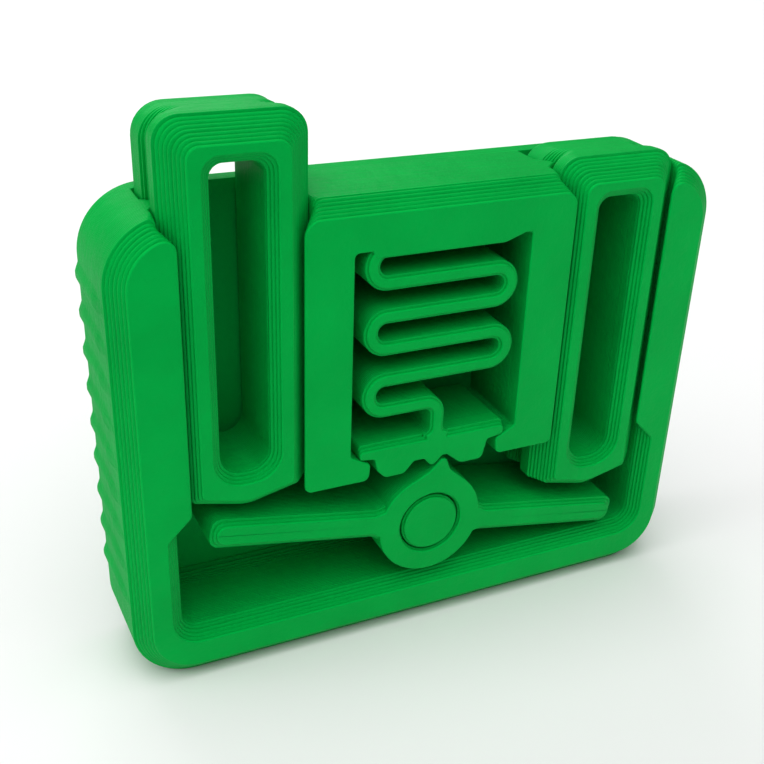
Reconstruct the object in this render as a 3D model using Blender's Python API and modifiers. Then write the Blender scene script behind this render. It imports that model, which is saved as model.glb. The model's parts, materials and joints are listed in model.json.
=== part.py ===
"""Two-button rocker clicker, a printed fidget toy, about 48 x 8.4 x 42 mm.

Two slotted buttons slide in dovetail channels beside a centre tower. Under them a rocker turns on
a pin, so one button rises as the other is pushed down. A cam block, hung from the tower on a flat
serpentine spring, drops over the rocker's nose and clicks it from one notch to the other.

World frame: X to the right, Y to the back, Z up. The origin is the middle of the footprint.
Lengths below are in millimetres.
"""

import math

import bmesh
import bpy
from mathutils import Matrix

MM = 0.001

# Frame
BODY_HALF_WIDTH = 23.5
BODY_HEIGHT = 36.0
BODY_DEPTH = 8.4
CORNER_RADIUS = 4.6
FRONT_BEVEL = 1.1
GAP = 0.3
BACK_THICKNESS = 1.2
FRONT = -BODY_DEPTH / 2
BACK = BODY_DEPTH / 2
PLATE_FACE = BACK - BACK_THICKNESS
MEMBER_BACK = PLATE_FACE - GAP

# Base and lower cavity
BASE_HEIGHT = 4.6
FLOOR_HEIGHT = 4.3
CAVITY_HALF_WIDTH = 19.75
CAVITY_FLARE = 0.95
CAVITY_TOP = 14.36
CAVITY_CORNER = 1.15
NOTCH_REACH = 2.26

# Grip ribs on the outer sides
RIB_COUNT = 9
RIB_PITCH = 2.83
RIB_FIRST_HEIGHT = 7.4
RIB_PROUD = 0.4
RIB_RADIUS = 0.6
RIB_FRONT_RADIUS = 0.28
RIB_FRONT_SETBACK = 1.3

# Button channels: half widths about the channel's middle, and depths behind the front
CHANNEL_CENTRE = 14.7
CHANNEL_LIP = 4.2
CHANNEL_HALF_WIDTH = 5.35
RIDGE_DEPTH = 3.8
RIDGE_HEIGHT = 1.05
WALL_LIP_CORNER = 1.2

# Centre tower
TOWER_BOTTOM = 14.25
TOWER_CORNER = 2.0
TOWER_CAVITY_HALF_WIDTH = 6.9
TOWER_CAVITY_TOP = 31.7
LIP_TIP = 5.45
LIP_TOP_OUTER = 16.1
LIP_TOP_INNER = 15.15

# Buttons
BUTTON_HALF_WIDTH = 5.0
BUTTON_THICKNESS = 6.8
BUTTON_BEVEL = 1.45
BUTTON_TOP = 36.9
BUTTON_BOTTOM = 8.95
BUTTON_V_RISE = 1.2
BUTTON_TOP_CORNER = 2.3
BUTTON_APEX_RADIUS = 4.0
BUTTON_FOOT_BEVEL = 0.5
GROOVE_DEPTH = 1.05
SLOT_HALF_WIDTH = 1.8
SLOT_FLARE = 0.65
SLOT_BOTTOM = 11.3
SLOT_TOP = 33.9
SLOT_CORNER = 1.3
BUTTON_TRAVEL = 5.05

# Rocker and its pin
PIVOT_HEIGHT = 9.18
ROCKER_TILT = math.radians(10.2)
HUB_RADIUS = 4.35
ARM_REACH = 17.9
ARM_HALF_THICKNESS = 1.15
ARM_BEVEL = 0.4
ARM_RECESS = 0.03
ARM_CORNER = 0.8
NOSE_REACH = 5.43
NOSE_TIP_HALF_WIDTH = 0.4
NOSE_FOOT_HALF_WIDTH = 2.5
NOSE_FOOT_HEIGHT = 3.56
PIN_RADIUS = 2.25
PIN_CLEARANCE = 0.35
PIN_COLLAR = 0.5
BORE_BEVEL = 0.3

# Spring and cam
STRIP_THICKNESS = 1.15
STRAND_PITCH = 2.48
FIRST_STRAND_HEIGHT = 29.8
STRAND_COUNT = 5
BEND_CENTRE = 4.25
STEM_X = -0.05
STEM_CORNER = 0.75
CAM_TOP = 17.15
CAM_EAR_REACH = 5.95
CAM_EAR_BOTTOM = 16.05
CAM_HALF_WIDTH = 4.65
CAM_LOBE_BOTTOM = 14.14
CAM_LOBE_X = 3.3
CAM_NOTCH_TOP = 15.4
CAM_NOTCH_X = 1.05
CAM_BUMP_BOTTOM = 14.91

GREEN = (0.0, 0.33, 0.08, 1.0)
OVERSHOOT = 1.0
FLARE_START = 0.4
FLARE_END = 0.15


def clear_scene():
    """Remove every object from the scene."""
    for item in list(bpy.data.objects):
        bpy.data.objects.remove(item, do_unlink=True)


def make_collection(name):
    """A collection linked to the scene."""
    group = bpy.data.collections.new(name)
    bpy.context.scene.collection.children.link(group)
    return group


def make_material(name, colour, roughness):
    """A plain plastic for one sub-part."""
    material = bpy.data.materials.new(name)
    material.use_nodes = True
    shader = material.node_tree.nodes["Principled BSDF"]
    shader.inputs["Base Color"].default_value = colour
    shader.inputs["Roughness"].default_value = roughness
    shader.inputs["Metallic"].default_value = 0.0
    return material


def add_object(name, mesh, collection):
    """Link a mesh as an object."""
    item = bpy.data.objects.new(name, mesh)
    collection.objects.link(item)
    return item


def round_outline(corners, steps=6):
    """Points of a closed outline of (x, z, radius) corners, each corner an arc of that radius."""
    points = []
    count = len(corners)
    for index, (x, z, radius) in enumerate(corners):
        if radius <= 0:
            points.append((x, z))
            continue
        before = corners[index - 1]
        after = corners[(index + 1) % count]
        to_before = math.atan2(before[1] - z, before[0] - x)
        to_after = math.atan2(after[1] - z, after[0] - x)
        opening = (to_after - to_before + math.pi) % (2 * math.pi) - math.pi
        half = abs(opening) / 2
        reach = radius / math.tan(half)
        middle = to_before + opening / 2
        centre_x = x + math.cos(middle) * radius / math.sin(half)
        centre_z = z + math.sin(middle) * radius / math.sin(half)
        start = math.atan2(z + math.sin(to_before) * reach - centre_z,
                           x + math.cos(to_before) * reach - centre_x)
        end = math.atan2(z + math.sin(to_after) * reach - centre_z,
                         x + math.cos(to_after) * reach - centre_x)
        sweep = (end - start + math.pi) % (2 * math.pi) - math.pi
        for step in range(steps + 1):
            angle = start + sweep * step / steps
            points.append((centre_x + radius * math.cos(angle), centre_z + radius * math.sin(angle)))
    return points


def filled_outline(name, points, thickness, collection):
    """A mesh prism of a flat outline, from a filled 2D curve; the outline lies in X and Y."""
    curve = bpy.data.curves.new(name, "CURVE")
    curve.dimensions = "2D"
    curve.fill_mode = "BOTH"
    curve.extrude = thickness * MM / 2
    spline = curve.splines.new("POLY")
    spline.points.add(len(points) - 1)
    for point, (x, y) in zip(spline.points, points):
        point.co = (x * MM, y * MM, 0.0, 1.0)
    spline.use_cyclic_u = True
    drawn = add_object(name + "_curve", curve, collection)
    bpy.context.view_layer.update()
    evaluated = drawn.evaluated_get(bpy.context.evaluated_depsgraph_get())
    mesh = bpy.data.meshes.new_from_object(evaluated)
    bpy.data.objects.remove(drawn, do_unlink=True)
    work = bmesh.new()
    work.from_mesh(mesh)
    bmesh.ops.remove_doubles(work, verts=work.verts, dist=0.000001)
    bmesh.ops.recalc_face_normals(work, faces=work.faces)
    work.to_mesh(mesh)
    work.free()
    mesh.name = name
    return mesh


def bevel_side(mesh, height, width):
    """Chamfer the edges of a prism that lie on the plane z = height (millimetres)."""
    work = bmesh.new()
    work.from_mesh(mesh)
    bmesh.ops.dissolve_limit(work, angle_limit=0.001, verts=work.verts, edges=work.edges)
    on_plane = [vert for vert in work.verts if abs(vert.co.z - height * MM) < 0.000001]
    chosen = set(on_plane)
    edges = [edge for edge in work.edges if edge.verts[0] in chosen and edge.verts[1] in chosen]
    bmesh.ops.bevel(work, geom=edges, offset=width * MM, offset_type="OFFSET", segments=1,
                    profile=0.5, affect="EDGES", clamp_overlap=True)
    bmesh.ops.recalc_face_normals(work, faces=work.faces)
    work.to_mesh(mesh)
    work.free()


def plate(name, outline, front, back, collection, front_bevel=0.0, back_bevel=0.0):
    """A plate of a front-view outline between two depths, its front or back edge chamfered."""
    mesh = filled_outline(name, outline, back - front, collection)
    if front_bevel > 0:
        bevel_side(mesh, (back - front) / 2, front_bevel)
    if back_bevel > 0:
        bevel_side(mesh, (front - back) / 2, back_bevel)
    # Turning a quarter about X puts the outline in X and Z, with its upper side to the front.
    mesh.transform(Matrix.Rotation(math.pi / 2, 4, "X"))
    mesh.transform(Matrix.Translation((0.0, (front + back) / 2 * MM, 0.0)))
    return add_object(name, mesh, collection)


def column(name, plan, bottom, top, collection):
    """A column of a plan outline (x, y) between two heights."""
    mesh = filled_outline(name, plan, top - bottom, collection)
    mesh.transform(Matrix.Translation((0.0, 0.0, (bottom + top) / 2 * MM)))
    return add_object(name, mesh, collection)


def turned(name, profile, collection, steps=48):
    """A piece turned about Y: profile points are (radius, depth), from back to front."""
    mesh = bpy.data.meshes.new(name)
    work = bmesh.new()
    verts = [work.verts.new((radius * MM, 0.0, height * MM)) for radius, height in profile]
    for first, second in zip(verts, verts[1:]):
        work.edges.new((first, second))
    work.to_mesh(mesh)
    work.free()
    item = add_object(name, mesh, collection)
    screw = item.modifiers.new("Turn", "SCREW")
    screw.axis = "Z"
    screw.steps = steps
    screw.render_steps = steps
    screw.use_merge_vertices = True
    screw.merge_threshold = 0.00001
    screw.use_smooth_shade = False
    bpy.context.view_layer.update()
    evaluated = item.evaluated_get(bpy.context.evaluated_depsgraph_get())
    spun = bpy.data.meshes.new_from_object(evaluated)
    bpy.data.objects.remove(item, do_unlink=True)
    work = bmesh.new()
    work.from_mesh(spun)
    bmesh.ops.remove_doubles(work, verts=work.verts, dist=0.000001)
    bmesh.ops.recalc_face_normals(work, faces=work.faces)
    work.to_mesh(spun)
    work.free()
    # The profile's height becomes the depth behind the front face.
    spun.transform(Matrix.Rotation(-math.pi / 2, 4, "X"))
    return add_object(name, spun, collection)


def combine(item, cutter, operation, cutters):
    """Apply one exact Boolean and file the cutter away."""
    modifier = item.modifiers.new(operation.title(), "BOOLEAN")
    modifier.operation = operation
    modifier.solver = "EXACT"
    modifier.object = cutter
    bpy.context.view_layer.update()
    evaluated = item.evaluated_get(bpy.context.evaluated_depsgraph_get())
    mesh = bpy.data.meshes.new_from_object(evaluated)
    item.modifiers.remove(modifier)
    item.data = mesh
    cutter.hide_render = True
    cutter.display_type = "WIRE"
    for group in list(cutter.users_collection):
        group.objects.unlink(cutter)
    cutters.objects.link(cutter)


def finish(item, name):
    """Name a sub-part, smooth its round faces and give it its plastic."""
    item.name = name
    item.data.name = name
    item.data.materials.clear()
    item.data.materials.append(make_material(name + "_plastic", GREEN, 0.45))
    item.data.shade_smooth()
    item.data.set_sharp_from_angle(angle=math.radians(30))
    return item


def mirrored(points, side):
    """Outline points on the right (side 1) or mirrored to the left (side -1)."""
    if side > 0:
        return list(points)
    return [(-point[0],) + tuple(point[1:]) for point in reversed(points)]


def channel_side(outward):
    """Plan points of one side of a channel, front to back; outward is +1 or -1 along X."""
    ridge_foot = RIDGE_DEPTH - RIDGE_HEIGHT
    lip_depth = CHANNEL_HALF_WIDTH - CHANNEL_LIP
    steps = [(CHANNEL_LIP, 0.0), (CHANNEL_HALF_WIDTH, lip_depth), (CHANNEL_HALF_WIDTH, ridge_foot),
             (CHANNEL_HALF_WIDTH - RIDGE_HEIGHT, RIDGE_DEPTH),
             (CHANNEL_HALF_WIDTH, RIDGE_DEPTH + RIDGE_HEIGHT)]
    points = [(CHANNEL_CENTRE + outward * half, FRONT + depth) for half, depth in steps]
    points.append((CHANNEL_CENTRE + outward * CHANNEL_HALF_WIDTH, MEMBER_BACK))
    return points


def body_outline():
    """Front view of the whole frame."""
    return round_outline([(-BODY_HALF_WIDTH, 0.0, CORNER_RADIUS), (BODY_HALF_WIDTH, 0.0, CORNER_RADIUS),
                          (BODY_HALF_WIDTH, BODY_HEIGHT, CORNER_RADIUS),
                          (-BODY_HALF_WIDTH, BODY_HEIGHT, CORNER_RADIUS)], steps=8)


def cavity_cutters(cutters):
    """The lower cavity: a straight well and the flare of its front edge."""
    low = FLOOR_HEIGHT
    outline = round_outline([(-CAVITY_HALF_WIDTH, low, CAVITY_CORNER),
                             (CAVITY_HALF_WIDTH, low, CAVITY_CORNER),
                             (CAVITY_HALF_WIDTH, CAVITY_TOP - NOTCH_REACH, 0),
                             (CAVITY_HALF_WIDTH - NOTCH_REACH, CAVITY_TOP, 0),
                             (NOTCH_REACH - CAVITY_HALF_WIDTH, CAVITY_TOP, 0),
                             (-CAVITY_HALF_WIDTH, CAVITY_TOP - NOTCH_REACH, 0)])
    flare = CAVITY_FLARE + FLARE_START
    reach = flare * math.tan(math.radians(22.5))
    flared = round_outline([(-CAVITY_HALF_WIDTH - flare, low - flare, CAVITY_CORNER + flare),
                            (CAVITY_HALF_WIDTH + flare, low - flare, CAVITY_CORNER + flare),
                            (CAVITY_HALF_WIDTH + flare, CAVITY_TOP - NOTCH_REACH + reach, 0),
                            (CAVITY_HALF_WIDTH - NOTCH_REACH + reach, CAVITY_TOP + flare, 0),
                            (NOTCH_REACH - CAVITY_HALF_WIDTH - reach, CAVITY_TOP + flare, 0),
                            (-CAVITY_HALF_WIDTH - flare, CAVITY_TOP - NOTCH_REACH + reach, 0)])
    well = plate("cavity_well", outline, FRONT - OVERSHOOT, PLATE_FACE, cutters)
    slope = plate("cavity_slope", flared, FRONT - FLARE_START, FRONT + CAVITY_FLARE + FLARE_END, cutters,
                  back_bevel=flare + FLARE_END)
    return well, slope


def make_back_plate(parts):
    """The plate that everything stands on."""
    return finish(plate("back", body_outline(), PLATE_FACE, BACK, parts), "back_plate")


def make_base(parts, cutters):
    """The rail under the lower cavity, with both bottom corners of the frame."""
    base = plate("base", body_outline(), FRONT, MEMBER_BACK, parts, front_bevel=FRONT_BEVEL)
    slab = column("base_slab", [(-BODY_HALF_WIDTH - 1, FRONT - 1), (BODY_HALF_WIDTH + 1, FRONT - 1),
                                (BODY_HALF_WIDTH + 1, BACK), (-BODY_HALF_WIDTH - 1, BACK)],
                  -OVERSHOOT, BASE_HEIGHT, cutters)
    combine(base, slab, "INTERSECT", cutters)
    for cutter in cavity_cutters(cutters):
        combine(base, cutter, "DIFFERENCE", cutters)
    return finish(base, "base_rail")


def make_wall(side, name, parts, cutters):
    """One side wall: channel profile inside, shoulder on top, ribs outside."""
    inner = channel_side(1)
    plan = inner + [(BODY_HALF_WIDTH + OVERSHOOT, MEMBER_BACK), (BODY_HALF_WIDTH + OVERSHOOT, FRONT)]
    plan = mirrored(plan, side)
    wall = column(name, plan, BASE_HEIGHT + GAP, BODY_HEIGHT + OVERSHOOT, parts)
    blank = plate(name + "_blank", body_outline(), FRONT, MEMBER_BACK + OVERSHOOT, cutters,
                  front_bevel=FRONT_BEVEL)
    combine(wall, blank, "INTERSECT", cutters)
    lip = CHANNEL_CENTRE + CHANNEL_LIP
    above = BODY_HEIGHT + 0.05
    shoulder = [(lip, -OVERSHOOT, 0), (BODY_HALF_WIDTH + OVERSHOOT, -OVERSHOOT, 0),
                (BODY_HALF_WIDTH + OVERSHOOT, above, 0), (lip, above, WALL_LIP_CORNER)]
    rounding = plate(name + "_rounding", mirrored(round_outline(shoulder), side), FRONT - OVERSHOOT,
                     BACK, cutters)
    combine(wall, rounding, "INTERSECT", cutters)
    for cutter in cavity_cutters(cutters):
        combine(wall, cutter, "DIFFERENCE", cutters)
    for index in range(RIB_COUNT):
        height = RIB_FIRST_HEIGHT + index * RIB_PITCH
        rib = make_rib(f"{name}_rib_{index}", side, height, cutters)
        combine(wall, rib, "UNION", cutters)
    return finish(wall, name)


def make_rib(name, side, height, cutters):
    """One grip rib: a long cone that fades into the side towards the front."""
    length = MEMBER_BACK - FRONT - RIB_FRONT_SETBACK
    mesh = bpy.data.meshes.new(name)
    work = bmesh.new()
    bmesh.ops.create_cone(work, cap_ends=True, segments=12, radius1=RIB_FRONT_RADIUS * MM,
                          radius2=RIB_RADIUS * MM, depth=length * MM)
    bmesh.ops.rotate(work, verts=work.verts, cent=(0, 0, 0), matrix=Matrix.Rotation(-math.pi / 2, 3, "X"))
    work.to_mesh(mesh)
    work.free()
    middle = FRONT + RIB_FRONT_SETBACK + length / 2
    offset = side * (BODY_HALF_WIDTH + RIB_PROUD - RIB_RADIUS)
    mesh.transform(Matrix.Translation((offset * MM, middle * MM, height * MM)))
    return add_object(name, mesh, cutters)


def make_tower(parts, cutters):
    """The tower between the channels, with its spring window and the two lips that hold the cam."""
    left = [(-x, y) for x, y in channel_side(-1)]
    plan = list(reversed(left)) + channel_side(-1)
    tower = column("tower", plan, TOWER_BOTTOM, BODY_HEIGHT + OVERSHOOT, parts)
    half = CHANNEL_CENTRE - CHANNEL_LIP + FRONT_BEVEL
    outline = [(-half, -OVERSHOOT, 0), (half, -OVERSHOOT, 0), (half, BODY_HEIGHT, TOWER_CORNER),
               (-half, BODY_HEIGHT, TOWER_CORNER)]
    blank = plate("tower_blank", round_outline(outline), FRONT, MEMBER_BACK + OVERSHOOT, cutters,
                  front_bevel=FRONT_BEVEL)
    combine(tower, blank, "INTERSECT", cutters)
    window = [(-TOWER_CAVITY_HALF_WIDTH, TOWER_CAVITY_TOP, 0.5),
              (-TOWER_CAVITY_HALF_WIDTH, LIP_TOP_OUTER, 0),
              (-LIP_TIP, LIP_TOP_INNER, 0.3), (-LIP_TIP, TOWER_BOTTOM - OVERSHOOT, 0),
              (LIP_TIP, TOWER_BOTTOM - OVERSHOOT, 0), (LIP_TIP, LIP_TOP_INNER, 0.3),
              (TOWER_CAVITY_HALF_WIDTH, LIP_TOP_OUTER, 0),
              (TOWER_CAVITY_HALF_WIDTH, TOWER_CAVITY_TOP, 0.5)]
    cutter = plate("tower_window", round_outline(window), FRONT - OVERSHOOT, BACK, cutters)
    combine(tower, cutter, "DIFFERENCE", cutters)
    return finish(tower, "center_tower")


def make_button(side, name, rise, parts, cutters):
    """One slotted button, drawn at its low position and then raised."""
    half = BUTTON_HALF_WIDTH
    back = FRONT + BUTTON_THICKNESS
    outline = [(-half, 0.0, 0), (half, 0.0, 0), (half, BUTTON_TOP, BUTTON_TOP_CORNER),
               (-half, BUTTON_TOP, BUTTON_TOP_CORNER)]
    button = plate(name, round_outline(outline), FRONT, back, parts, front_bevel=BUTTON_BEVEL)
    wide = half + OVERSHOOT
    rise_wide = BUTTON_V_RISE * wide / half
    wedge = [(-wide, BUTTON_BOTTOM + rise_wide, 0), (0.0, BUTTON_BOTTOM, BUTTON_APEX_RADIUS),
             (wide, BUTTON_BOTTOM + rise_wide, 0), (wide, BUTTON_TOP + 2, 0), (-wide, BUTTON_TOP + 2, 0)]
    vee = plate(name + "_vee", round_outline(wedge, steps=4), FRONT, back + OVERSHOOT, cutters,
                front_bevel=BUTTON_FOOT_BEVEL)
    combine(button, vee, "INTERSECT", cutters)
    for edge in (-1, 1):
        groove = [(edge * (half + OVERSHOOT), FRONT + RIDGE_DEPTH - GROOVE_DEPTH - OVERSHOOT),
                  (edge * (half + OVERSHOOT), FRONT + RIDGE_DEPTH + GROOVE_DEPTH + OVERSHOOT),
                  (edge * (half - GROOVE_DEPTH), FRONT + RIDGE_DEPTH)]
        cutter = column(f"{name}_groove_{edge}", groove, BUTTON_BOTTOM - OVERSHOOT,
                        BUTTON_TOP + OVERSHOOT, cutters)
        combine(button, cutter, "DIFFERENCE", cutters)
    slot = slot_outline(0.0)
    flare = SLOT_FLARE + FLARE_START
    through = plate(name + "_slot", slot, FRONT - OVERSHOOT, back + OVERSHOOT, cutters)
    mouth = plate(name + "_mouth", slot_outline(flare), FRONT - FLARE_START,
                  FRONT + SLOT_FLARE + FLARE_END, cutters, back_bevel=flare + FLARE_END)
    combine(button, through, "DIFFERENCE", cutters)
    combine(button, mouth, "DIFFERENCE", cutters)
    finish(button, name)
    button.location = (side * CHANNEL_CENTRE * MM, 0.0, rise * MM)
    return button


def slot_outline(extra):
    """The button's slot, larger all round by extra."""
    half = SLOT_HALF_WIDTH + extra
    radius = SLOT_CORNER + extra
    return round_outline([(-half, SLOT_BOTTOM - extra, radius), (half, SLOT_BOTTOM - extra, radius),
                          (half, SLOT_TOP + extra, radius), (-half, SLOT_TOP + extra, radius)])


def make_pin(parts):
    """The rocker's pin, with the collar that keeps the rocker on it."""
    profile = [(0.0, FRONT), (PIN_RADIUS, FRONT), (PIN_RADIUS, FRONT + RIDGE_DEPTH - PIN_COLLAR),
               (PIN_RADIUS + PIN_COLLAR, FRONT + RIDGE_DEPTH),
               (PIN_RADIUS, FRONT + RIDGE_DEPTH + PIN_COLLAR), (PIN_RADIUS, MEMBER_BACK), (0.0, MEMBER_BACK)]
    pin = finish(turned("pin", profile, parts), "pivot_pin")
    pin.location = (0.0, 0.0, PIVOT_HEIGHT * MM)
    return pin


def make_rocker(parts, cutters):
    """The rocker: two arms, a hub and the nose, turned to its rest tilt about the pin."""
    back = FRONT + BUTTON_THICKNESS
    arm = [(-ARM_REACH, -ARM_HALF_THICKNESS, ARM_CORNER), (ARM_REACH, -ARM_HALF_THICKNESS, ARM_CORNER),
           (ARM_REACH, ARM_HALF_THICKNESS, ARM_CORNER), (-ARM_REACH, ARM_HALF_THICKNESS, ARM_CORNER)]
    arms = plate("rocker_arms", round_outline(arm, steps=5), FRONT + ARM_RECESS, back - ARM_RECESS,
                 cutters, front_bevel=ARM_BEVEL)
    nose = [(NOSE_FOOT_HALF_WIDTH, NOSE_FOOT_HEIGHT, 0), (NOSE_TIP_HALF_WIDTH, NOSE_REACH, 0.3),
            (-NOSE_TIP_HALF_WIDTH, NOSE_REACH, 0.3), (-NOSE_FOOT_HALF_WIDTH, NOSE_FOOT_HEIGHT, 0)]
    foot_angle = math.degrees(math.atan2(NOSE_FOOT_HEIGHT, NOSE_FOOT_HALF_WIDTH))
    rim = arc(0.0, 0.0, HUB_RADIUS, 180 - foot_angle, 360 + foot_angle, 40)
    rocker = plate("rocker", rim + round_outline(nose, steps=4)[1:-1], FRONT, back, parts)
    combine(rocker, arms, "UNION", cutters)
    bore = PIN_RADIUS + PIN_CLEARANCE
    collar = PIN_COLLAR + 0.1
    profile = [(0.0, FRONT - OVERSHOOT), (bore + BORE_BEVEL + OVERSHOOT, FRONT - OVERSHOOT),
               (bore, FRONT + BORE_BEVEL), (bore, FRONT + RIDGE_DEPTH - collar),
               (bore + collar, FRONT + RIDGE_DEPTH), (bore, FRONT + RIDGE_DEPTH + collar),
               (bore, back + OVERSHOOT), (0.0, back + OVERSHOOT)]
    cutter = turned("rocker_bore", profile, cutters)
    combine(rocker, cutter, "DIFFERENCE", cutters)
    finish(rocker, "rocker_lever")
    rocker.location = (0.0, 0.0, PIVOT_HEIGHT * MM)
    rocker.rotation_euler = (0.0, ROCKER_TILT, 0.0)
    return rocker


def arc(centre_x, centre_z, radius, start, end, steps):
    """Points of an arc between two angles in degrees."""
    angles = [math.radians(start + (end - start) * step / steps) for step in range(steps + 1)]
    return [(centre_x + radius * math.cos(angle), centre_z + radius * math.sin(angle)) for angle in angles]


def spring_path():
    """Centre line of the serpentine, from the tower's band down to the cam."""
    bend = STRAND_PITCH / 2
    path = [(-BEND_CENTRE - bend, TOWER_CAVITY_TOP - GAP)]
    path += arc(-BEND_CENTRE, FIRST_STRAND_HEIGHT + bend, bend, 180, 270, 5)
    for strand in range(1, STRAND_COUNT):
        middle = FIRST_STRAND_HEIGHT - strand * STRAND_PITCH + bend
        if strand % 2:
            path += arc(BEND_CENTRE, middle, bend, 90, -90, 10)
        else:
            path += arc(-BEND_CENTRE, middle, bend, 90, 270, 10)
    last = FIRST_STRAND_HEIGHT - (STRAND_COUNT - 1) * STRAND_PITCH
    path += arc(STEM_X - STEM_CORNER, last - STEM_CORNER, STEM_CORNER, 90, 0, 5)
    path.append((STEM_X, CAM_TOP + GAP))
    return path


def strip_outline(path, thickness):
    """Outline of a strip of constant thickness along a path."""
    left = []
    right = []
    for index, (x, z) in enumerate(path):
        before = path[max(index - 1, 0)]
        after = path[min(index + 1, len(path) - 1)]
        run_x = after[0] - before[0]
        run_z = after[1] - before[1]
        length = math.hypot(run_x, run_z)
        offset_x = -run_z / length * thickness / 2
        offset_z = run_x / length * thickness / 2
        left.append((x + offset_x, z + offset_z))
        right.append((x - offset_x, z - offset_z))
    return left + list(reversed(right))


def make_spring(parts):
    """The flat serpentine spring."""
    outline = strip_outline(spring_path(), STRIP_THICKNESS)
    spring = plate("spring", outline, FRONT, FRONT + BUTTON_THICKNESS, parts)
    return finish(spring, "serpentine_spring")


def make_cam(parts):
    """The cam block: ears over the tower's lips, and two notches for the rocker's nose."""
    right = [(0.0, CAM_BUMP_BOTTOM, 0.3), (CAM_NOTCH_X - 0.3, CAM_NOTCH_TOP, 0.2),
             (CAM_NOTCH_X + 0.3, CAM_NOTCH_TOP, 0.2), (CAM_LOBE_X - 0.9, CAM_LOBE_BOTTOM, 0.5),
             (CAM_LOBE_X + 0.9, CAM_LOBE_BOTTOM, 0.4), (CAM_HALF_WIDTH, CAM_EAR_BOTTOM - 0.6, 0.2),
             (CAM_HALF_WIDTH + 0.3, CAM_EAR_BOTTOM, 0.2), (CAM_EAR_REACH, CAM_EAR_BOTTOM, 0.4),
             (CAM_EAR_REACH, CAM_TOP, 0.5)]
    left = [(-x, z, radius) for x, z, radius in reversed(right[1:])]
    outline = round_outline(right + left, steps=4)
    cam = plate("cam", outline, FRONT, FRONT + BUTTON_THICKNESS, parts, front_bevel=0.2)
    return finish(cam, "detent_cam")


def main():
    """Build the clicker."""
    clear_scene()
    parts = make_collection("rocker_clicker")
    cutters = make_collection("cutters")
    make_back_plate(parts)
    make_base(parts, cutters)
    make_wall(-1, "left_wall", parts, cutters)
    make_wall(1, "right_wall", parts, cutters)
    make_tower(parts, cutters)
    make_pin(parts)
    make_spring(parts)
    make_cam(parts)
    make_rocker(parts, cutters)
    make_button(-1, "left_button", BUTTON_TRAVEL, parts, cutters)
    make_button(1, "right_button", 0.0, parts, cutters)


main()
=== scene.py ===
"""Looks for the two-button rocker clicker: printed surfaces, green plastic and a small studio.

Every piece is worked out layer by layer, as a printer lays it down: a front-view outline for each
0.2 mm layer, stacked from the open front to the closed back. Lengths are in millimetres until they
go into a mesh. Height is Z, width is X, and depth runs along Y from the front.
"""

import json

import bpy
import numpy as np
from mathutils import Matrix, Vector


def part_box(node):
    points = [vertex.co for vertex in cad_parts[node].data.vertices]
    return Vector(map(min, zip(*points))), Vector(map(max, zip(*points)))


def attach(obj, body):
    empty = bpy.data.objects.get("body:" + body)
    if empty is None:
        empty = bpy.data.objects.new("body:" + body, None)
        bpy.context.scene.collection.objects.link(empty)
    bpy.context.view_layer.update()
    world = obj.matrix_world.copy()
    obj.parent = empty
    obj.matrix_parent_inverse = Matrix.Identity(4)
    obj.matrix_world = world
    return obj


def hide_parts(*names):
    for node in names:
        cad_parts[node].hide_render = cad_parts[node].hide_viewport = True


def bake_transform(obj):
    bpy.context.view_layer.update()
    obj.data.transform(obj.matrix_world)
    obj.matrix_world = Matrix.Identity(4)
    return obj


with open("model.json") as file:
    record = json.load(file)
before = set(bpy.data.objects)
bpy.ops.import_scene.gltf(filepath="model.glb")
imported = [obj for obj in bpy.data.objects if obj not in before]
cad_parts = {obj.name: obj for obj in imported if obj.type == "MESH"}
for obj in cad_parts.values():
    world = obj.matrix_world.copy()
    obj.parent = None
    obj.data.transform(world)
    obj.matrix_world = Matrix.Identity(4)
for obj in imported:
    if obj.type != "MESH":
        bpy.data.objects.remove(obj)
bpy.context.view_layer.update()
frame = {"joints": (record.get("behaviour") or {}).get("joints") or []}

bl_info = {
    "name": "Rocker clicker",
    "version": (1, 0, 0),
    "blender": (4, 5, 0),
    "location": "3D View > Sidebar > Clicker",
    "description": "Layered printed pieces, plastic and studio for a two-button rocker clicker",
    "category": "Object",
}

MM = 0.001


def node_box(node):
    """Lowest and highest corner of a CAD node, in millimetres."""
    low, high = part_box(node)
    return np.array(low) / MM, np.array(high) / MM


PLATE_LOW, PLATE_HIGH = node_box("back_plate")
WALL_LOW, WALL_HIGH = node_box("right_wall")
TOWER_LOW, TOWER_HIGH = node_box("center_tower")
BUTTON_LOW, BUTTON_HIGH = node_box("right_button")
HINGE = next(joint for joint in frame["joints"] if joint["name"] == "rocker_turn")
PIVOT_HEIGHT = HINGE["pos_m"][2] / MM

# Frame
SIDE = PLATE_HIGH[0]
HEIGHT = PLATE_HIGH[2]
FRONT = TOWER_LOW[1]
PLATE_FACE = PLATE_LOW[1]
BACK = PLATE_HIGH[1]
CORNER = 4.6
OUTER_CHAMFER = 1.2

# Grip ribs
RIB_COUNT = 9
RIB_PITCH = 2.83
RIB_FIRST = 7.4
RIB_HEIGHT = 0.6 * (WALL_HIGH[0] - SIDE)
RIB_HALF_WIDTH = 0.85
RIB_FLAT = 1.4
RIB_FADE_START = 1.3
RIB_FADE_LENGTH = 2.2

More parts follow.
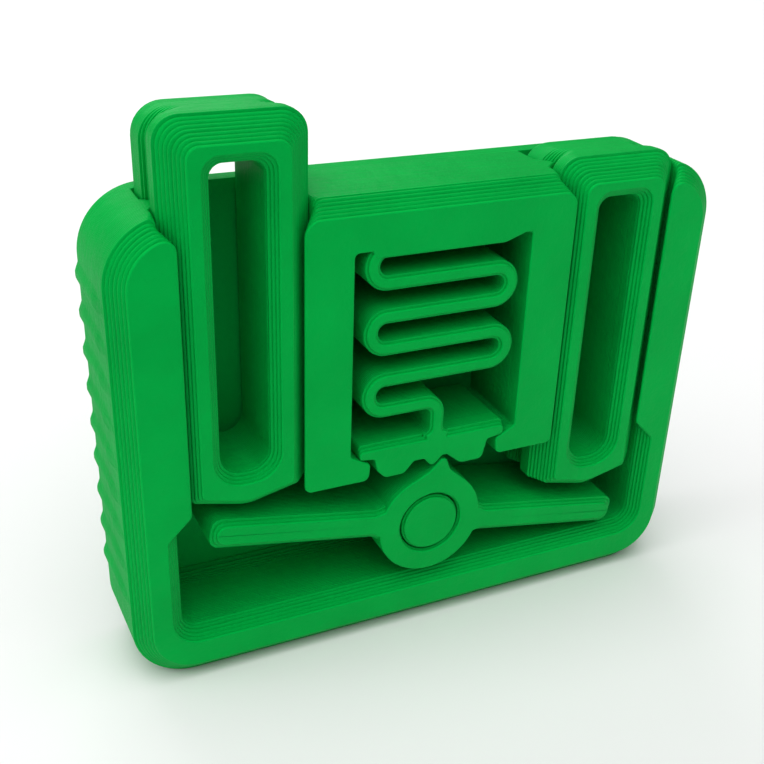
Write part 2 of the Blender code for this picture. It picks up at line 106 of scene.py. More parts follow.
# Channels and lower cavity
LIP = WALL_LOW[0]
CHANNEL_MIDDLE = (BUTTON_LOW[0] + BUTTON_HIGH[0]) / 2
CHANNEL_HALF = 5.13
CHANNEL_WALL = CHANNEL_MIDDLE + CHANNEL_HALF
RIDGE_DEPTH = 3.8
RIDGE_HEIGHT = 1.05
SHOULDER_ROUND = 0.85
SHOULDER_SHRINK = 0.35
SHOULDER_LEAST = 0.15
NOTCH_TOP = TOWER_LOW[2] + 0.05
CAVITY_FRONT = 20.7
FLOOR_FRONT = 3.35
FLOOR_FLARE = 0.95
FLOOR_CORNER = 2.1
FLOOR_FILLET = 1.3

# Tower
FOOT = TOWER_LOW[2]
TOWER_HALF = TOWER_HIGH[0]
TOWER_NARROW = CHANNEL_MIDDLE - CHANNEL_HALF
TOWER_CHAMFER = 1.1
TOWER_CORNER = 1.15
TOWER_CORNER_SHRINK = 0.45
TOWER_CORNER_LEAST = 0.25
WINDOW = 6.9
BAND_UNDERSIDE = 31.7
WINDOW_TOP = 32.25

# Buttons
BUTTON_FACE = 3.45
BUTTON_CHAMFER = 1.6
BUTTON_BACK_DROP = 0.35
DROP_START = 2.0
DROP_LENGTH = 4.0
BUTTON_CORNER = 1.75
GROOVE = 1.05
VEE_SLOPE = 0.24
FOOT_CHAMFER = 0.6
FOOT_DROP = 0.05
SLOT_FRONT = 2.45
SLOT_CHAMFER = 0.65
SLOT_BELOW_TOP = 2.35
SLOT_ABOVE_FOOT = 2.1

# Rocker and pin
HUB = 4.35
ARM_REACH = 17.9
ARM_HALF = 1.2
ARM_CHAMFER = 0.4
ARM_CORNER = 0.8
ARM_FLARE = 0.3
NOSE = 5.66
NOSE_ANGLE = 91.2
NOSE_SPREAD = 31.0
BORE = 2.52
BORE_CHAMFER = 0.2
PIN = 2.42
PIN_CHAMFER = 0.2

# Spring and cam
STRIP = 1.15
STRIP_CHAMFER = 0.2
STRANDS = 5
PITCH = 2.48
SPRING_TOP = 32.28
BEND = 4.29
SPRING_RECESS = 0.01
STEM = 0.12
STEM_ROUND = 1.05
STEM_FLARE = 0.5
CAM_TOP = 17.18
CAM_CHAMFER = 0.4

# Studio: paper and camera place in metres, camera turn in degrees (azimuth, elevation, roll)
PAPER_HALF = 12.0
CAMERA_PLACE = (-0.03653, -0.07063, 0.05949)
CAMERA_TURN = (27.52, -28.92, 2.93)
CAMERA_LENS = 54.41
CAMERA_SHIFT = (-0.0414, 0.0595)
VIEW_GAMMA = 0.84

# One printed layer: its height, and how far its edge pulls in, row by row
LAYER = 0.2
BEAD = ((0.03, 0.035), (0.3, 0.0), (0.7, 0.0), (0.97, 0.035))
SOFT_BEAD = (0.11, 0.03, 0.0, 0.0)


# ---------------------------------------------------------------- outlines


def layer_rows(front, back, soft=0.0):
    """Rows of a stack of layers: their Y, the depth at which their layer starts, its middle, and the bead.

    Each layer has four rows. The outer two pull in by the bead, which rounds the layer's edge. Down to
    the soft depth, where a chamfer steps out, the front edge is rounder and the back edge is full.
    """
    count = round((back - front) / LAYER)
    start = np.repeat(front - FRONT + LAYER * np.arange(count), len(BEAD))
    share = np.tile([row[0] for row in BEAD], count)
    bead = np.where(start < soft, np.tile(SOFT_BEAD, count), np.tile([row[1] for row in BEAD], count))
    return {"y": FRONT + start + share * LAYER, "start": start, "middle": start + LAYER / 2, "bead": bead}


def stair(rows, size):
    """A 45 degree chamfer cut in layers: size less the depth at which the layer starts, never below 0."""
    return np.maximum(size - rows["start"], 0.0)


def ridge(rows):
    """The V ridge of a channel: its height less the distance from its depth, never below 0."""
    return np.maximum(RIDGE_HEIGHT - np.abs(rows["middle"] - RIDGE_DEPTH), 0.0)


def hollow(rows, radius):
    """A hollow fillet against the back plate: radius less the root of radius squared less reach squared.

    Reach is how far the layer has come into the last radius before the plate.
    """
    reach = np.clip(rows["middle"] - (PLATE_FACE - FRONT - radius), 0.0, radius)
    return radius - np.sqrt(radius ** 2 - reach ** 2)


def arc(centre_x, centre_z, radius, start, end, steps):
    """Points at centre + radius (cos, sin) of angles from start to end, in degrees, for every row."""
    share = np.linspace(0.0, 1.0, steps + 1)[:, None]
    angle = np.radians(start + (np.asarray(end) - start) * share)
    x = centre_x + radius * np.cos(angle)
    z = centre_z + radius * np.sin(angle)
    return np.stack(np.broadcast_arrays(x, z), -1)


def rounded(corners, count, steps=6):
    """A closed outline of (x, z, radius) corners, each rounded by the arc that touches both its sides.

    The arc's centre lies on the corner's bisector, radius / sin(half angle) from the corner. Points
    along it turn evenly from one touching point to the other. Values may differ from row to row.
    """
    x, z, radius = (np.array([np.broadcast_to(corner[k], count) for corner in corners]) for k in range(3))
    point = np.stack([x, z], -1)
    before = np.roll(point, 1, 0) - point
    after = np.roll(point, -1, 0) - point
    before /= np.linalg.norm(before, axis=-1, keepdims=True)
    after /= np.linalg.norm(after, axis=-1, keepdims=True)
    half = 0.5 * np.arccos(np.clip((before * after).sum(-1), -0.99999, 0.99999))[..., None]
    middle = before + after
    middle /= np.maximum(np.linalg.norm(middle, axis=-1, keepdims=True), 1e-9)
    radius = radius[..., None]
    centre = point + middle * radius / np.sin(half)
    start = point + before * radius / np.tan(half) - centre
    end = point + after * radius / np.tan(half) - centre
    sweep = np.pi - 2 * half
    share = np.linspace(0.0, 1.0, steps + 1)[:, None, None]
    from_start = start[:, None] * np.sin((1 - share) * sweep[:, None])
    from_end = end[:, None] * np.sin(share * sweep[:, None])
    arcs = centre[:, None] + (from_start + from_end) / np.sin(sweep[:, None])
    return arcs.reshape(-1, count, 2)


def rounded_path(corners, count, steps=6):
    """The same for an open path, whose two ends stay sharp points."""
    arcs = rounded(corners, count, steps)
    ends = [np.broadcast_arrays(*corner[:2], np.zeros(count))[:2] for corner in (corners[0], corners[-1])]
    first, last = (np.stack(end, -1)[None] for end in ends)
    return np.concatenate([first, arcs[steps + 1:-steps - 1], last])


def mirrored(half):
    """A closed outline from its right half, which starts and ends on the middle line."""
    left = half[-2:0:-1] * (-1.0, 1.0)
    return np.concatenate([half, left])


# ---------------------------------------------------------------- meshes


def walls(outline, rows, inward=False):
    """Vertices of an outline carried back row by row, shape (rows, points, 3).

    Each point moves along the outline's normal, into the material, by its row's bead.
    """
    along = np.roll(outline, -1, 0) - np.roll(outline, 1, 0)
    along /= np.maximum(np.linalg.norm(along, axis=-1, keepdims=True), 1e-9)
    outward = np.stack([along[..., 1], -along[..., 0]], -1)
    pulled = outline + outward * rows["bead"][None, :, None] * (1 if inward else -1)
    depth = np.broadcast_to(rows["y"][:, None], (len(rows["y"]), len(outline)))
    return np.stack([pulled[..., 0].T, depth, pulled[..., 1].T], -1)


def grid_faces(rings, points, wrap_rings=False):
    """Quads between neighbouring rings of points, facing out for rings that run back from the front."""
    index = np.arange(rings * points).reshape(rings, points)
    here = index if wrap_rings else index[:-1]
    behind = np.roll(index, -1, 0) if wrap_rings else index[1:]
    quads = np.stack([here, behind, np.roll(behind, -1, 1), np.roll(here, -1, 1)], -1)
    return quads.reshape(-1, 4)


def make_piece(name, vertices, faces, body, nodes):
    """Put vertices in millimetres and faces into a mesh that rides on a body and stands for CAD nodes."""
    mesh = bpy.data.meshes.new(name)
    mesh.from_pydata(vertices.reshape(-1, 3) * MM, [], faces)
    mesh.update()
    mesh.shade_smooth()
    mesh.set_sharp_from_angle(angle=np.radians(30))
    piece = bpy.data.objects.new(name, mesh)
    bpy.context.scene.collection.objects.link(piece)
    piece.data.materials.append(print_plastic())
    if body:
        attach(piece, body)
    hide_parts(*nodes)
    return piece


def solid_print(name, outline, rows, body, nodes):
    """A closed stack of layers with a flat front and a flat back."""
    vertices = walls(outline, rows)
    rings, points = vertices.shape[:2]
    faces = grid_faces(rings, points).tolist()
    faces.append(list(range(points)))
    faces.append(list(range(rings * points - 1, (rings - 1) * points - 1, -1)))
    return make_piece(name, vertices, faces, body, nodes)


def ring_print(name, outer, inner, rows, body, nodes):
    """A closed stack of layers with a hole: outer walls run back, inner walls run forward again."""
    out = walls(outer, rows)
    back = walls(inner, rows, inward=True)[::-1]
    vertices = np.concatenate([out, back])
    faces = grid_faces(len(vertices), vertices.shape[1], wrap_rings=True).tolist()
    return make_piece(name, vertices, faces, body, nodes)


# ---------------------------------------------------------------- plastic


def linear(hex_colour):
    """Linear red, green and blue of an sRGB hex colour, and full opacity."""
    value = np.array([int(hex_colour[k:k + 2], 16) for k in (1, 3, 5)]) / 255
    low = value / 12.92
    high = ((value + 0.055) / 1.055) ** 2.4
    return (*np.where(value <= 0.04045, low, high), 1.0)


def add_node(tree, kind, settings=None, **links):
    """Add a node, set its properties and values, and link its inputs from other nodes' outputs."""
    node = tree.nodes.new(kind)
    for key, value in (settings or {}).items():
        if hasattr(node, key):
            setattr(node, key, value)
        else:
            node.inputs[key].default_value = value
    for key, socket in links.items():
        tree.links.new(socket, node.inputs[key.replace("_", " ")])
    return node


def print_plastic():
    """Green PLA from a filament printer: dyed through, satin, laid in fine even layers.

    The eye sees a deep clean green, slightly darker and lighter from layer to layer, a fine grain on
    flat faces and a soft broad gloss on edges.
    """
    name = "satin_green_pla_print"
    if name in bpy.data.materials:
        return bpy.data.materials[name]
    colours = bpy.context.scene.clicker_colours
    material = bpy.data.materials.new(name)
    material.use_nodes = True
    tree = material.node_tree
    shader = tree.nodes["Principled BSDF"]
    place = add_node(tree, "ShaderNodeTexCoord").outputs["Object"]
    axes = add_node(tree, "ShaderNodeSeparateXYZ", Vector=place)
    # One noise value for each 0.2 mm layer: its tone and gloss change a little as the melt varies.
    layer = add_node(tree, "ShaderNodeMath", {"operation": "MULTIPLY"})
    tree.links.new(axes.outputs["Y"], layer.inputs[0])
    layer.inputs[1].default_value = 1 / (LAYER * MM)
    tone = add_node(tree, "ShaderNodeTexNoise", {"noise_dimensions": "1D", "Scale": 0.9, "Detail": 1.0},
                    W=layer.outputs["Value"])
    cloud = add_node(tree, "ShaderNodeTexNoise", {"Scale": 1 / (5 * MM), "Detail": 2.0}, Vector=place)
    blend = add_node(tree, "ShaderNodeMix", {"data_type": "FLOAT"})
    blend.inputs["Factor"].default_value = 0.5
    tree.links.new(tone.outputs["Fac"], blend.inputs["A"])
    tree.links.new(cloud.outputs["Fac"], blend.inputs["B"])
    ramp = add_node(tree, "ShaderNodeValToRGB", Fac=blend.outputs["Result"])
    ramp.color_ramp.elements[0].position = 0.3
    ramp.color_ramp.elements[0].color = linear(colours.shade)
    ramp.color_ramp.elements[1].position = 0.7
    ramp.color_ramp.elements[1].color = linear(colours.plastic)
    tree.links.new(ramp.outputs["Color"], shader.inputs["Base Color"])
    limits = {"From Min": 0.3, "From Max": 0.7, "To Min": 0.38, "To Max": 0.52}
    gloss = add_node(tree, "ShaderNodeMapRange", limits, Value=tone.outputs["Fac"])
    tree.links.new(gloss.outputs["Result"], shader.inputs["Roughness"])
    # Grain of about 0.15 mm, the texture left by the print sheet and by the melt's skin.
    grain = add_node(tree, "ShaderNodeTexNoise", {"Scale": 1 / (0.3 * MM), "Detail": 3.0, "Roughness": 0.6},
                     Vector=place)
    # Slow waves of about 1 mm, where the flat faces cooled unevenly.
    wave = add_node(tree, "ShaderNodeTexNoise", {"Scale": 1 / (1.3 * MM), "Detail": 1.0}, Vector=place)
    relief = add_node(tree, "ShaderNodeMath", {"operation": "MULTIPLY_ADD"})
    relief.inputs[1].default_value = 2.5
    tree.links.new(wave.outputs["Fac"], relief.inputs[0])
    tree.links.new(grain.outputs["Fac"], relief.inputs[2])
    bump = add_node(tree, "ShaderNodeBump", {"Strength": 0.6, "Distance": 0.05 * MM},
                    Height=relief.outputs["Value"])
    tree.links.new(bump.outputs["Normal"], shader.inputs["Normal"])
    shader.inputs["Specular Tint"].default_value = linear(colours.gloss)
    shader.inputs["IOR"].default_value = 1.46
    return material


def studio_paper():
    """Uncoated white table paper: its fibres scatter light evenly, so it has next to no gloss."""
    material = bpy.data.materials.new("matte_white_paper")
    material.use_nodes = True
    shader = material.node_tree.nodes["Principled BSDF"]
    shader.inputs["Base Color"].default_value = linear(bpy.context.scene.clicker_colours.paper)
    shader.inputs["Roughness"].default_value = 0.9
    shader.inputs["Specular IOR Level"].default_value = 0.1
    return material


# ---------------------------------------------------------------- settings


class ClickerSizes(bpy.types.PropertyGroup):
    """Sizes of the print that change how it looks."""

    chamfer: bpy.props.FloatProperty(
        name="Frame chamfer", description="Size of the frame's front chamfer", default=OUTER_CHAMFER * MM,
        unit="LENGTH", subtype="DISTANCE")
    rib: bpy.props.FloatProperty(
        name="Rib height", description="How far the grip ribs stand out", default=RIB_HEIGHT * MM,
        unit="LENGTH", subtype="DISTANCE")
    strip: bpy.props.FloatProperty(
        name="Spring strip", description="Thickness of the spring's strip", default=STRIP * MM,
        unit="LENGTH", subtype="DISTANCE")
    tilt: bpy.props.FloatProperty(
        name="Tilt", description="Resting tilt of the rocker, right arm down", default=np.radians(10.2),
        unit="ROTATION", subtype="ANGLE")


class ClickerColours(bpy.types.PropertyGroup):
    """Colours of the plastic and of the studio, as sRGB hex values."""

    plastic: bpy.props.StringProperty(name="Plastic", description="Main green", default="#00B24F")
    shade: bpy.props.StringProperty(
        name="Shade", description="Green of the darker layers", default="#00A246")
    gloss: bpy.props.StringProperty(name="Gloss", description="Tint of the gloss", default="#40FFA8")
    paper: bpy.props.StringProperty(name="Paper", description="Table paper", default="#E8E8E8")


# ---------------------------------------------------------------- pieces


def side_with_ribs(rows, inset):
    """The outer right side from the lower to the upper corner, with its grip ribs.

    A rib is a triangle with its tip cut flat: full height in the middle, falling evenly to nothing at
    its half width. Its height grows from nothing near the front to full size further back.
    """
    steps = 18 * RIB_COUNT
    height = np.linspace(CORNER, HEIGHT - CORNER, steps + 1)[1:-1, None]
    offset = (height - RIB_FIRST + RIB_PITCH / 2) % RIB_PITCH - RIB_PITCH / 2
    last = RIB_FIRST + (RIB_COUNT - 1) * RIB_PITCH
    near = (height > RIB_FIRST - RIB_PITCH / 2) & (height < last + RIB_PITCH / 2)
    grown = np.clip((rows["middle"] - RIB_FADE_START) / RIB_FADE_LENGTH, 0.0, 1.0)
    width = RIB_HALF_WIDTH * (0.55 + 0.45 * grown)
    share = np.clip(1 - np.abs(offset) / width, 0.0, 1.0)
    rib = bpy.context.scene.clicker_sizes.rib / MM * near * grown * np.minimum(RIB_FLAT * share, 1.0)
    side = SIDE - inset + rib
    return np.stack(np.broadcast_arrays(side, height), -1)


def outer_corner(rows, inset, top, end):
    """A rounded outer corner of the frame on the right, from its start to its end angle."""
    centre = HEIGHT - CORNER if top else CORNER
    start = 0.0 if top else -90.0
    return arc(SIDE - CORNER, centre, CORNER - inset, start, end, 16)


class CLICKER_OT_frame(bpy.types.Operator):
    """Print the frame: back, base, side walls with ribs, channels and cavity, as one closed shell"""

    bl_idname = "clicker.frame"
    bl_label = "Frame"

    def execute(self, context):
        rows = layer_rows(FRONT, PLATE_FACE, OUTER_CHAMFER)
        count = len(rows["y"])
        inset = stair(rows, context.scene.clicker_sizes.chamfer / MM)
        lip = np.minimum(LIP + rows["start"], CHANNEL_WALL) - ridge(rows)
        cavity = np.maximum(CAVITY_FRONT - rows["start"], CHANNEL_WALL)
        floor = FLOOR_FRONT + np.minimum(rows["start"], FLOOR_FLARE)
        shoulder = np.maximum(SHOULDER_ROUND - SHOULDER_SHRINK * rows["start"], SHOULDER_LEAST)
        floor = floor + hollow(rows, FLOOR_FILLET)
        middle = SIDE - CORNER
        reach = CORNER - inset - shoulder
        rise = np.sqrt(reach ** 2 - (lip + shoulder - middle) ** 2)
        turn = np.degrees(np.arctan2(rise, lip + shoulder - middle))
        step = np.maximum(cavity - lip, 0.06)
        zero = np.zeros(count)
        bottom = np.stack([zero, inset], -1)[None]
        right = np.concatenate([
            bottom, outer_corner(rows, inset, False, 0.0), side_with_ribs(rows, inset),
            outer_corner(rows, inset, True, turn)])
        joined = len(right)
        bend = FLOOR_CORNER - np.minimum(rows["start"], FLOOR_FLARE)
        inside = rounded_path([
            (lip, HEIGHT - CORNER + rise, 0.0), (lip, NOTCH_TOP, 0.3 * step),
            (cavity, NOTCH_TOP - step, 0.3 * step), (cavity, floor, bend), (zero, floor, 0.0)], count)
        fillet = arc(lip + shoulder, HEIGHT - CORNER + rise, shoulder, turn, 180.0, 6)[1:-1]
        outline = mirrored(np.concatenate([right, fillet, inside]))
        stack = walls(outline, rows)
        points = len(outline)

        # The back plate's layers carry on the shell's outer side, closed along the top.
        plate_rows = layer_rows(PLATE_FACE, BACK)
        plate_count = len(plate_rows["y"])
        none = np.zeros(plate_count)
        crown = arc(SIDE - CORNER, HEIGHT - CORNER, CORNER - none, turn[-1], 90.0, 7)[1:]
        top = np.stack([none, none + HEIGHT], -1)[None]
        low_right = np.concatenate([
            np.stack([none, none], -1)[None], outer_corner(plate_rows, none, False, 0.0),
            side_with_ribs(plate_rows, none), outer_corner(plate_rows, none, True, turn[-1])])
        plate = walls(mirrored(np.concatenate([low_right, crown, top])), plate_rows)
        ring = plate.shape[1]
        plate[0, joined:ring - joined + 1, 1] = stack[-1, 0, 1]
        rail_faces = grid_faces(count, points)
        offset = stack.shape[0] * points
        plate_faces = grid_faces(plate_count, ring) + offset

        # Where the walls meet the plate, shared outline points join, and the rest is the inner floor.
        last = (count - 1) * points + np.arange(points)
        first = offset + np.arange(ring)
        shared_rail = np.concatenate([last[points - joined + 1:], last[:joined]])
        shared_plate = np.concatenate([first[ring - joined + 1:], first[:joined]])
        joint = np.stack([shared_rail[:-1], shared_plate[:-1], shared_plate[1:], shared_rail[1:]], -1)
        inner = np.concatenate([last[joined - 1:points - joined + 2], first[ring - joined:joined - 1:-1]])
        faces = rail_faces.tolist() + plate_faces.tolist() + joint.tolist()
        faces.append(list(range(points)))
        faces.append(inner.tolist())
        faces.append([last[points - joined + 1], first[ring - joined + 1], first[ring - joined]])
        faces.append([first[joined], first[joined - 1], last[joined - 1]])
        faces.append((offset + (plate_count - 1) * ring + np.arange(ring)[::-1]).tolist())
        vertices = np.concatenate([stack.reshape(-1, 3), plate.reshape(-1, 3)])
        nodes = ("back_plate", "base_rail", "left_wall", "right_wall")
        make_piece("frame_shell", vertices, faces, "frame", nodes)
        return {"FINISHED"}


class CLICKER_OT_tower(bpy.types.Operator):
    """Print the centre tower with its spring window and the two lips below it"""

    bl_idname = "clicker.tower"
    bl_label = "Tower"

    def execute(self, context):
        rows = layer_rows(FRONT, PLATE_FACE, OUTER_CHAMFER)
        inset = stair(rows, TOWER_CHAMFER)
        half = TOWER_HALF - np.minimum(rows["start"], TOWER_HALF - TOWER_NARROW) + ridge(rows)
        top = HEIGHT - inset
        corner = np.maximum(TOWER_CORNER - TOWER_CORNER_SHRINK * rows["start"], TOWER_CORNER_LEAST)
        # Corners as X, Z and radius: the right lip, the outer sides and top, the left lip, the window.
        outline = rounded([
            (5.45, FOOT, 0.5), (half, FOOT, 0.55), (half, top, corner), (-half, top, corner),
            (-half, FOOT, 0.55), (-5.4, FOOT, 0.55), (-5.3, 15.65, 0.4), (-WINDOW, 16.5, 0.3),
            (-WINDOW, WINDOW_TOP, 0.35), (-5.6, WINDOW_TOP, 0.1),
            (-5.45, BAND_UNDERSIDE, 0.1), (4.7, BAND_UNDERSIDE, 1.0),
            (6.3, WINDOW_TOP, 0.4), (WINDOW, WINDOW_TOP, 0.2), (WINDOW, 16.5, 0.3), (5.3, 15.65, 0.4)],
            len(rows["y"]))
        solid_print("tower", outline, rows, "frame", ("center_tower",))
        return {"FINISHED"}


class CLICKER_OT_pin(bpy.types.Operator):
    """Print the pin that the rocker turns on"""

    bl_idname = "clicker.pin"
    bl_label = "Pin"

    def execute(self, context):
        rows = layer_rows(FRONT, PLATE_FACE)
        radius = PIN - 0.8 * stair(rows, PIN_CHAMFER)
        outline = arc(0.0, PIVOT_HEIGHT, radius, 0.0, 360.0, 72)[:-1]
        solid_print("pin", outline, rows, "frame", ("pivot_pin",))
        return {"FINISHED"}


def spring_line():
    """Middle line of the spring: strands joined by half circles, then a quarter circle into the stem."""
    bend = PITCH / 2
    parts = []
    for strand in range(STRANDS):
        middle = SPRING_TOP - (strand + 0.5) * PITCH
        if strand % 2:
            parts.append(arc(BEND, middle, bend, 90.0, -90.0, 20))
        else:
            parts.append(arc(-BEND, middle, bend, 90.0, 270.0, 20))
    last = SPRING_TOP - STRANDS * PITCH
    parts.append(arc(STEM - STEM_ROUND, last - STEM_ROUND, STEM_ROUND, 90.0, 0.0, 8))
    rise = np.linspace(last - STEM_ROUND, CAM_TOP - 0.6, 13)[1:]
    parts.append(np.stack([np.full(len(rise), STEM), rise], -1))
    return np.concatenate([part.reshape(-1, 2) for part in parts])


class CLICKER_OT_spring(bpy.types.Operator):
    """Print the serpentine spring, which stretches between the tower and the cam"""

    bl_idname = "clicker.spring"
    bl_label = "Spring"

    def execute(self, context):
        rows = layer_rows(FRONT, BUTTON_HIGH[1], LAYER)
        # Set back a hair, so its front face doesn't lie in the tower's and the cam's.
        rows["y"] = rows["y"] + SPRING_RECESS
        line = spring_line()
        along = np.gradient(line, axis=0)
        along /= np.linalg.norm(along, axis=-1, keepdims=True)
        across = np.stack([-along[:, 1], along[:, 0]], -1)[:, None]
        half = (context.scene.clicker_sizes.strip / MM / 2 - stair(rows, STRIP_CHAMFER))[None, :, None]
        # The stem's foot flares into the cam in two hollow fillets: radius less the root of radius
        # squared less reach squared, where reach is how far the point has come down into the fillet.
        reach = np.clip(STEM_FLARE - (line[:, 1] - CAM_TOP), 0.0, STEM_FLARE)
        half = half + (STEM_FLARE - np.sqrt(STEM_FLARE ** 2 - reach ** 2))[:, None, None]
        line = line[:, None]
        outline = np.concatenate([line - across * half, (line + across * half)[::-1]])
        spring = solid_print("spring", outline, rows, None, ("serpentine_spring",))
        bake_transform(spring)
        return {"FINISHED"}


class CLICKER_OT_cam(bpy.types.Operator):
    """Print the cam: two ears, two lobes and a bump between two notches"""

    bl_idname = "clicker.cam"
    bl_label = "Cam"

    def execute(self, context):
        rows = layer_rows(FRONT, BUTTON_HIGH[1], CAM_CHAMFER)
        inset = stair(rows, CAM_CHAMFER)
        # Corners as X, Z and radius: left ear, left lobe, notch, bump, notch, right lobe, right ear.
        outline = rounded([
            (-6.2, CAM_TOP - inset, 0.3), (-6.2, 16.1, 0.25), (-5.0, 15.95, 0.25), (-4.75, 14.9, 0.4),
            (-4.1, 14.2, 0.5), (-2.5, 14.2, 0.6), (-1.7, 15.12, 0.3), (-0.85, 15.12, 0.25),
            (-0.15, 14.3, 0.35), (0.7, 15.12, 0.25), (1.1, 15.12, 0.2), (2.3, 14.1, 0.9),
            (4.2, 14.1, 0.5), (4.6, 15.75, 0.2), (5.95, 15.95, 0.4), (5.95, CAM_TOP - inset, 0.35)],
            len(rows["y"]), 5)
        solid_print("cam_block", outline, rows, "cam", ("detent_cam",))
        return {"FINISHED"}


def around(radius, degrees):
    """X and Z of the point at a radius and angle from the hub's middle: radius (cos, sin)."""
    angle = np.radians(degrees)
    return radius * np.cos(angle), radius * np.sin(angle)


class CLICKER_OT_rocker(bpy.types.Operator):
    """Print the rocker: hub, bore, nose and two arms, at its resting tilt"""

    bl_idname = "clicker.rocker"
    bl_label = "Rocker"

    def execute(self, context):
        rows = layer_rows(FRONT, BUTTON_HIGH[1], ARM_CHAMFER)
        count = len(rows["y"])
        inset = stair(rows, ARM_CHAMFER)
        half = ARM_HALF - inset
        reach = ARM_REACH - inset
        root = np.degrees(np.arcsin((half + ARM_FLARE) / HUB))
        root_x = HUB * np.cos(np.radians(root))
        right_touch = NOSE_ANGLE - NOSE_SPREAD
        left_touch = NOSE_ANGLE + NOSE_SPREAD
        tip_x, tip_z = around(NOSE, NOSE_ANGLE)
        round_end = rounded_path([
            (root_x, -half - ARM_FLARE, 0), (root_x + 0.7, -half, 0.5), (reach, -half, ARM_CORNER),
            (reach, half, ARM_CORNER), (root_x + 0.7, half, 0.5), (root_x, half + ARM_FLARE, 0)], count)
        nose = rounded_path([
            (*around(HUB, right_touch), 0), (tip_x + 0.8, tip_z - 0.95, 1.1), (tip_x + 0.25, tip_z, 0.22),
            (tip_x - 0.25, tip_z, 0.22), (tip_x - 0.95, tip_z - 1.05, 1.2), (*around(HUB, left_touch), 0)],
            count, 8)
        upper_right = arc(0.0, 0.0, HUB, root, right_touch, 12)[1:-1]
        upper_left = arc(0.0, 0.0, HUB, left_touch, 180 - root, 8)[1:-1]
        lower = arc(0.0, 0.0, HUB, 180 + root, 360 - root, 44)[1:-1]
        far_end = round_end * (-1.0, -1.0)
        outline = np.concatenate([round_end, upper_right, nose, upper_left, far_end, lower])
        angle = np.unwrap(np.arctan2(outline[..., 1], outline[..., 0]), axis=0)
        bore = BORE + 0.6 * stair(rows, BORE_CHAMFER)
        hole = np.stack([bore * np.cos(angle), bore * np.sin(angle)], -1)
        tilt = context.scene.clicker_sizes.tilt
        turn = np.array([[np.cos(tilt), -np.sin(tilt)], [np.sin(tilt), np.cos(tilt)]])
        shift = np.array([0.0, PIVOT_HEIGHT])
        ring_print("rocker", outline @ turn + shift, hole @ turn + shift, rows, "rocker", ("rocker_lever",))
        return {"FINISHED"}


class CLICKER_OT_buttons(bpy.types.Operator):
    """Print both slotted buttons in their channels"""

    bl_idname = "clicker.buttons"
    bl_label = "Buttons"

    def execute(self, context):
        for name, node, body in (("button_left", "left_button", "left_slider"),
                                 ("button_right", "right_button", "right_slider")):
            low, high = node_box(node)
            rows = layer_rows(FRONT, high[1], BUTTON_CHAMFER)
            chamfer = stair(rows, BUTTON_CHAMFER)
            groove = np.maximum(GROOVE - np.abs(rows["middle"] - RIDGE_DEPTH), 0.0)
            centre = (low[0] + high[0]) / 2
            half = BUTTON_FACE + BUTTON_CHAMFER - chamfer - groove
            foot = low[2] - FOOT_DROP + stair(rows, FOOT_CHAMFER)
            heel = foot + VEE_SLOPE * half
            behind = np.clip((rows["middle"] - DROP_START) / DROP_LENGTH, 0.0, 1.0)
            top = high[2] - chamfer - BUTTON_BACK_DROP * behind
            corner = BUTTON_CORNER - 0.5 * chamfer + 0.4 * np.clip(rows["middle"] - RIDGE_DEPTH, 0.0, 1.0)
            outer = rounded([
                (centre - half, heel, 0.45), (centre, foot, 3.0), (centre + half, heel, 0.45),
                (centre + half, top, corner), (centre - half, top, corner)], len(rows["y"]), 9)
            flare = stair(rows, SLOT_CHAMFER)
            width = SLOT_FRONT - SLOT_CHAMFER + flare
            slot_low = low[2] + SLOT_ABOVE_FOOT + SLOT_CHAMFER - flare
            slot_high = high[2] - SLOT_BELOW_TOP - SLOT_CHAMFER + flare
            inner = rounded([
                (centre - width, slot_low, 0.85 * width), (centre, slot_low - 0.04, 0.2),
                (centre + width, slot_low, 0.85 * width), (centre + width, slot_high, 0.5 * width),
                (centre - width, slot_high, 0.5 * width)], len(rows["y"]), 9)
            ring_print(name, outer, inner, rows, body, (node,))
        return {"FINISHED"}


# ---------------------------------------------------------------- studio


def camera_turn(azimuth, elevation, roll):
    """Rotation of a camera that looks along azimuth and elevation, rolled about its view line."""
    azimuth, elevation, roll = np.radians([azimuth, elevation, roll])
    level = np.cos(elevation)
    ahead = np.array([np.sin(azimuth) * level, np.cos(azimuth) * level, np.sin(elevation)])
    right = np.array([np.cos(azimuth), -np.sin(azimuth), 0.0])
    up = np.cross(right, ahead)
    rolled_right = right * np.cos(roll) + up * np.sin(roll)
    rolled_up = up * np.cos(roll) - right * np.sin(roll)
    return Matrix(np.stack([rolled_right, rolled_up, -ahead], 1).tolist()).to_4x4()


def add_light(name, kind, place, target, size, power):
    """A soft light at place, facing target: a square box of that width, or a sky patch of that angle."""
    light = bpy.data.lights.new(name, kind)
    if kind == "SUN":
        light.angle = np.radians(size)
    else:
        light.size = size
    light.energy = power
    lamp = bpy.data.objects.new(name, light)
    bpy.context.scene.collection.objects.link(lamp)
    lamp.location = place
    direction = Vector(target) - lamp.location
    lamp.rotation_euler = direction.to_track_quat("-Z", "Y").to_euler()


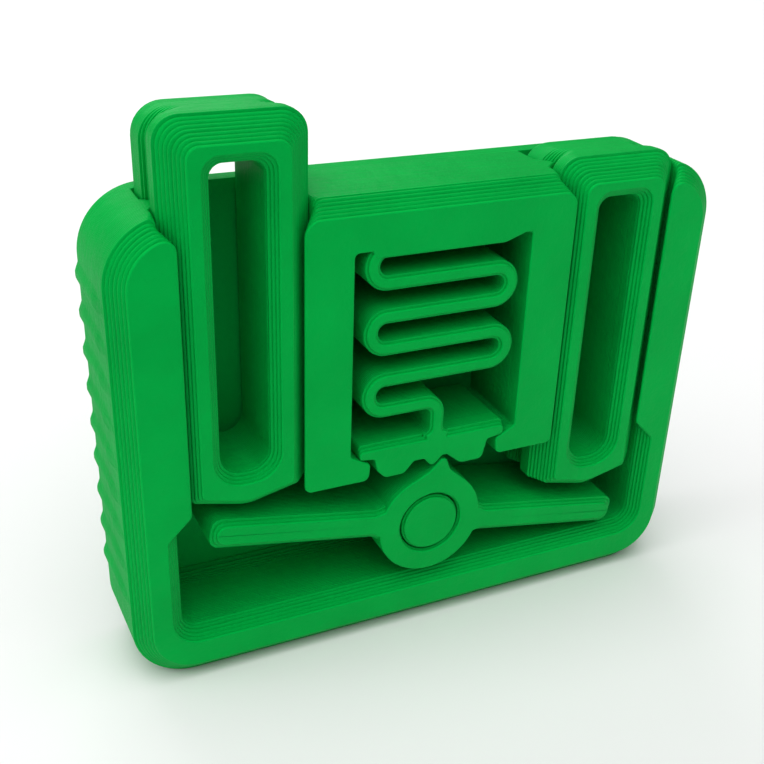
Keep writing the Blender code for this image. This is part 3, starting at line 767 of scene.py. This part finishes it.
class CLICKER_OT_stage(bpy.types.Operator):
    """Lay the paper, hang the lights and set up the camera"""

    bl_idname = "clicker.stage"
    bl_label = "Studio"

    def execute(self, context):
        scene = context.scene
        half = PAPER_HALF
        sheet = bpy.data.meshes.new("paper")
        corners = [(-half, -half, 0), (half, -half, 0), (half, half, 0), (-half, half, 0)]
        sheet.from_pydata(corners, [], [(0, 1, 2, 3)])
        paper = bpy.data.objects.new("paper", sheet)
        scene.collection.objects.link(paper)
        sheet.materials.append(studio_paper())

        world = bpy.data.worlds.new("studio")
        world.use_nodes = True
        tree = world.node_tree
        backdrop = tree.nodes["Background"]
        backdrop.inputs["Color"].default_value = linear("#FFFFFF")
        # The room is dim at eye level and bright overhead, like the inside of a light tent.
        toward = add_node(tree, "ShaderNodeTexCoord").outputs["Generated"]
        axes = add_node(tree, "ShaderNodeSeparateXYZ", Vector=toward)
        rise = add_node(tree, "ShaderNodeMapRange", {"From Max": 0.8, "To Min": 0.14, "To Max": 0.44},
                        Value=axes.outputs["Z"])
        tree.links.new(rise.outputs["Result"], backdrop.inputs["Strength"])
        scene.world = world
        scene.view_settings.view_transform = "Standard"
        scene.view_settings.gamma = VIEW_GAMMA
        add_light("overhead", "SUN", (-0.10, -0.18, 0.50), (0, 0, 0), 80.0, 2.3)
        add_light("left_side", "AREA", (-0.45, 0.02, 0.30), (0, 0, 0.02), 0.30, 0.5)
        add_light("behind", "AREA", (0.02, 0.46, 0.34), (0.01, 0, 0.03), 0.40, 0.8)

        camera = bpy.data.cameras.new("camera")
        camera.lens = CAMERA_LENS
        camera.sensor_width = 36.0
        camera.shift_x, camera.shift_y = CAMERA_SHIFT
        camera.clip_start = 0.005
        viewer = bpy.data.objects.new("camera", camera)
        scene.collection.objects.link(viewer)
        viewer.matrix_world = Matrix.Translation(CAMERA_PLACE) @ camera_turn(*CAMERA_TURN)
        scene.camera = viewer
        return {"FINISHED"}


class CLICKER_PT_panel(bpy.types.Panel):
    """Buttons for every piece, in the order they are made"""

    bl_idname = "CLICKER_PT_panel"
    bl_label = "Rocker clicker"
    bl_space_type = "VIEW_3D"
    bl_region_type = "UI"
    bl_category = "Clicker"

    def draw(self, context):
        for group in (context.scene.clicker_sizes, context.scene.clicker_colours):
            for key in group.bl_rna.properties.keys():
                if key not in ("rna_type", "name"):
                    self.layout.prop(group, key)
        for operator in OPERATORS:
            self.layout.operator(operator.bl_idname)


GROUPS = (ClickerSizes, ClickerColours)
OPERATORS = (
    CLICKER_OT_frame, CLICKER_OT_tower, CLICKER_OT_pin, CLICKER_OT_spring, CLICKER_OT_cam,
    CLICKER_OT_rocker, CLICKER_OT_buttons, CLICKER_OT_stage)


def register():
    """Register every class and the two groups of settings."""
    for item in (*GROUPS, *OPERATORS, CLICKER_PT_panel):
        bpy.utils.register_class(item)
    bpy.types.Scene.clicker_sizes = bpy.props.PointerProperty(type=ClickerSizes)
    bpy.types.Scene.clicker_colours = bpy.props.PointerProperty(type=ClickerColours)


def unregister():
    """Remove what register added."""
    del bpy.types.Scene.clicker_colours
    del bpy.types.Scene.clicker_sizes
    for item in reversed((*GROUPS, *OPERATORS, CLICKER_PT_panel)):
        bpy.utils.unregister_class(item)


def main():
    """Make every piece in order."""
    register()
    bpy.ops.clicker.frame()
    bpy.ops.clicker.tower()
    bpy.ops.clicker.pin()
    bpy.ops.clicker.spring()
    bpy.ops.clicker.cam()
    bpy.ops.clicker.rocker()
    bpy.ops.clicker.buttons()
    bpy.ops.clicker.stage()


if __name__ == "__main__":
    main()
